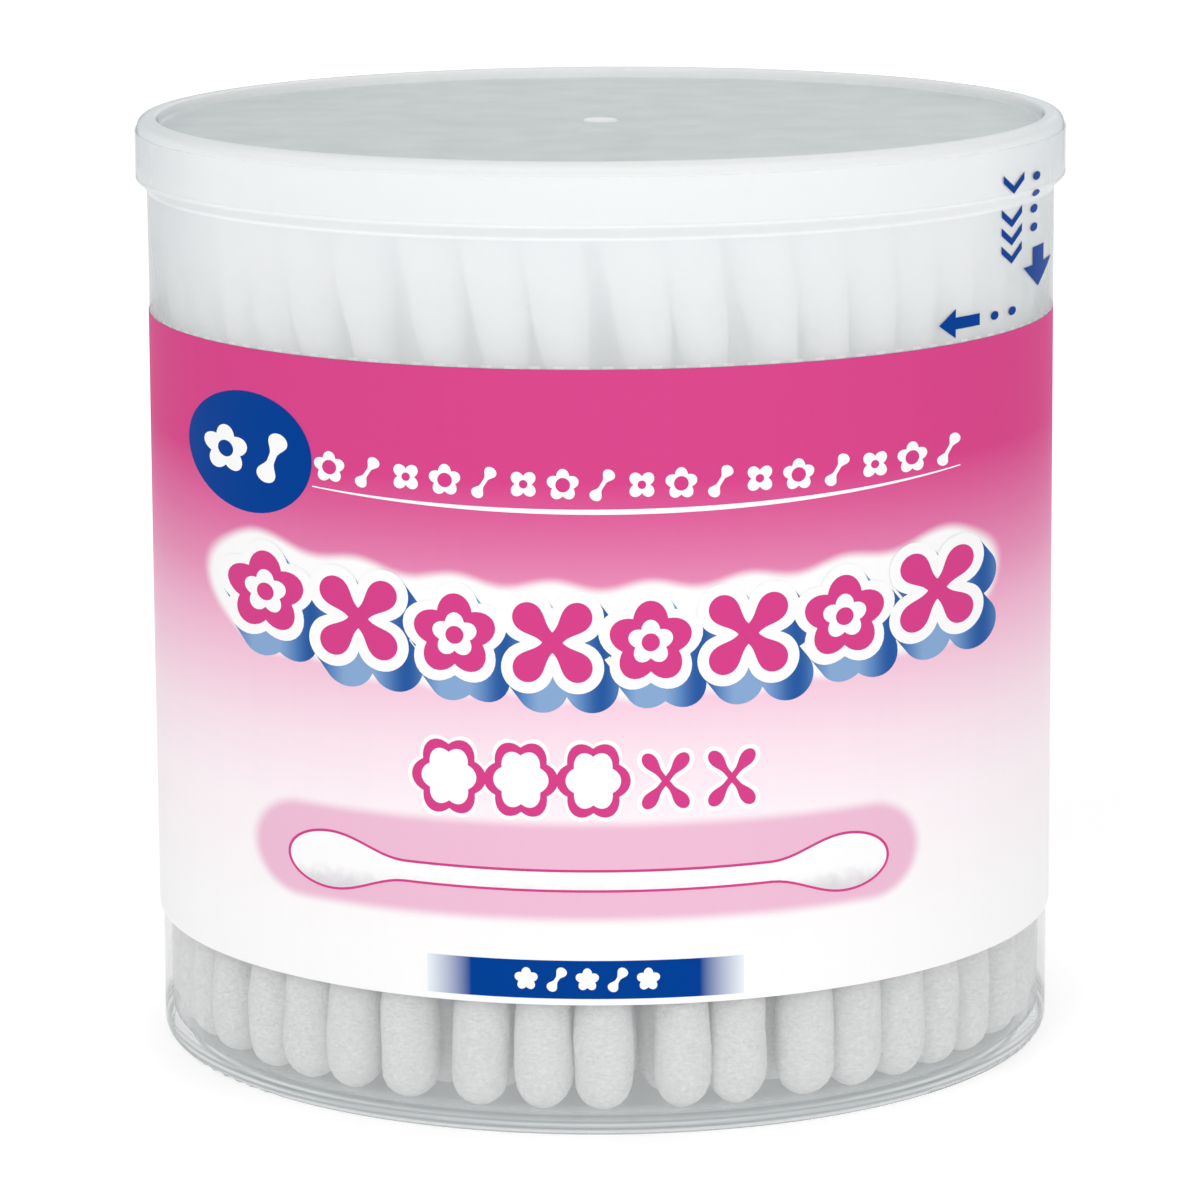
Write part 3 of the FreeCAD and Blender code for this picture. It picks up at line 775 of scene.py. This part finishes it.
# Painted light: the fold glows a little, standing in for light that comes down through the skirt.
fold_painted_glow = add(tree, "ShaderNodeMath", {0: fold.outputs[0], 1: skirt_part.outputs[0]}, operation="MULTIPLY")
glow = add(tree, "ShaderNodeMath", {0: fold_painted_glow.outputs[0], 1: 0.4}, operation="MULTIPLY")
veiled = add(tree, "ShaderNodeMath", {0: milky.outputs[0], 1: body.outputs[0]}, operation="ADD")
around = add(tree, "ShaderNodeMath", {0: at.outputs["X"], 1: at.outputs["Y"]}, operation="ARCTAN2")
cuts = add(tree, "ShaderNodeMath", {0: around.outputs[0], 1: perforations}, operation="MULTIPLY")
cut_wave = add(tree, "ShaderNodeMath", {0: cuts.outputs[0]}, operation="SINE")
cut = add(tree, "ShaderNodeMath", {0: cut_wave.outputs[0], 1: 0.2}, operation="GREATER_THAN")
low = add(tree, "ShaderNodeMath", {0: at.outputs["Z"], 1: strip_low.z + 0.25 * mm}, operation="LESS_THAN")
cut_edge = add(tree, "ShaderNodeMath", {0: cut.outputs[0], 1: low.outputs[0]}, operation="MULTIPLY")
alpha = add(tree, "ShaderNodeMath", {
    0: cut_edge.outputs[0], 1: 0.08, 2: veiled.outputs[0]}, operation="MULTIPLY_ADD", use_clamp=True)
waves = add(tree, "ShaderNodeTexNoise", {"Vector": place.outputs["Object"], "Scale": 1 / (6 * mm), "Detail": 1})
ripple = add(tree, "ShaderNodeBump", {
    "Height": waves.outputs["Fac"], "Strength": 0.2, "Distance": 0.3 * mm, "Normal": upright.outputs[0]})
surface = add(tree, "ShaderNodeBsdfPrincipled", {
    "Base Color": tint.outputs["Result"], "Roughness": 0.2, "IOR": 1.57, "Specular IOR Level": 0.3,
    "Alpha": letting_light_in(tree, alpha.outputs[0], 0.15), "Normal": ripple.outputs[0],
    "Emission Color": linear("#fdfdfd"), "Emission Strength": glow.outputs[0]})
add(tree, "ShaderNodeOutputMaterial", {"Surface": surface.outputs[0]})
tear_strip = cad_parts["tear_strip"]
tear_strip.data.materials.clear()
tear_strip.data.materials.append(clear_film)


def strip_radius(z):
    """Outer radius of the strip at a height: straight on the wall, sloping in the fold and straight on the skirt."""
    share = min(1, max(0, (z - fold_low) / (fold_high - fold_low)))
    return wall_reach + (skirt_reach - wall_reach) * share


dot_radius = 0.37
marks = [bloom(37.15, z, dot_radius) for z in (78.05, 76.5, 74.95, 73.35)]
marks.append(flat([
    (37.05, 71.6), (38.25, 71.6), (38.25, 70.1), (39.2, 70.1), (37.65, 68.1), (36.1, 70.1), (37.05, 70.1)]))
for top in (78.7, 75.6, 74.05, 72.5):
    marks.append(flat([
        (33.9, top), (34.9, top - 1.05), (35.9, top), (35.9, top - 0.65), (34.9, top - 1.7), (33.9, top - 0.65)]))
marks.append(flat([
    (28.2, 66.75), (29.7, 68.0), (29.7, 67.25), (31.9, 67.25), (31.9, 66.25), (29.7, 66.25), (29.7, 65.5)]))
marks += [bloom(x, 66.75, dot_radius) for x in (33.3, 35.0)]
strip_ink = bmesh.new()
for mark in marks:
    for bend in (fold_low, fold_high):
        bmesh.ops.bisect_plane(
            mark, geom=mark.verts[:] + mark.edges[:] + mark.faces[:], dist=0.00001 * mm,
            plane_co=(0, 0, bend), plane_no=(0, 0, 1))
    lay(strip_ink, mark, strip_radius, 3 * ink_step)
finished("strip_marks", strip_ink, blue_ink, False, "clear_film", "lid")

# Floor, light and camera. A white sweep under even studio light: a bright sky from all round, a broad lamp from
# the upper left, weaker ones from the front, the right and behind, and the photograph's viewpoint.
sweep = bmesh.new()
bmesh.ops.create_grid(sweep, x_segments=1, y_segments=1, size=6)
sweep_mesh = bpy.data.meshes.new("floor")
sweep.to_mesh(sweep_mesh)
sweep.free()
floor = bpy.data.objects.new("floor", sweep_mesh)
bpy.context.scene.collection.objects.link(floor)


def level_seen(tree, plain, shown):
    """A level of light that is higher where the camera, a reflection or a clear piece looks straight at it."""
    rays = add(tree, "ShaderNodeLightPath", {})
    seen = add(tree, "ShaderNodeMath", {
        0: rays.outputs["Is Camera Ray"], 1: rays.outputs["Is Glossy Ray"]}, operation="MAXIMUM")
    seen_through = add(tree, "ShaderNodeMath", {
        0: seen.outputs[0], 1: rays.outputs["Is Transmission Ray"]}, operation="MAXIMUM")
    return add(tree, "ShaderNodeMapRange", {
        "Value": seen_through.outputs[0], "To Min": plain, "To Max": shown}).outputs[0]


# Matt white card with a little glow of its own, more of it for the camera, so that it comes out full white but
# for the object's shadow.
card = bpy.data.materials.new("matt_white_card")
card.use_nodes = True
tree = card.node_tree
tree.nodes.clear()
dull = add(tree, "ShaderNodeBsdfDiffuse", {"Color": linear("#f5f5f5")})
lit = add(tree, "ShaderNodeEmission", {"Color": (1, 1, 1, 1), "Strength": level_seen(tree, 0.26, 0.4)})
both = add(tree, "ShaderNodeAddShader", {0: dull.outputs[0], 1: lit.outputs[0]})
add(tree, "ShaderNodeOutputMaterial", {"Surface": both.outputs[0]})
sweep_mesh.materials.append(card)

sky = bpy.data.worlds.new("studio")
bpy.context.scene.world = sky
sky.use_nodes = True
tree = sky.node_tree
tree.nodes.clear()
light = add(tree, "ShaderNodeBackground", {"Color": (1, 1, 1, 1), "Strength": level_seen(tree, 0.52, 1)})
add(tree, "ShaderNodeOutputWorld", {"Surface": light.outputs[0]})

lamp_breadth = math.radians(40)
for name, strength, around, up in (
        ("upper_left_lamp", 0.68, -35, 30), ("front_lamp", 0.4, 5, 8), ("right_lamp", 0.45, 55, 15),
        ("back_lamp", 0.5, 170, 30)):
    lamp = bpy.data.lights.new(name, "SUN")
    lamp.energy = strength
    lamp.angle = lamp_breadth
    hung = bpy.data.objects.new(name, lamp)
    hung.rotation_euler = (math.radians(90 - up), 0, math.radians(around))
    bpy.context.scene.collection.objects.link(hung)

lens = bpy.data.cameras.new("camera")
lens.lens = 159.3
lens.sensor_width = 36
camera = bpy.data.objects.new("camera", lens)
camera.location = (-0.26 * mm, -467.8 * mm, 131.1 * mm)
looking_down, roll = math.radians(11.26), math.radians(-0.33)
tilt = Matrix.Rotation(math.pi / 2 - looking_down, 3, "X") @ Matrix.Rotation(roll, 3, "Z")
camera.rotation_euler = tilt.to_euler()
bpy.context.scene.collection.objects.link(camera)
bpy.context.scene.camera = camera
bpy.context.scene.view_settings.view_transform = "Standard"
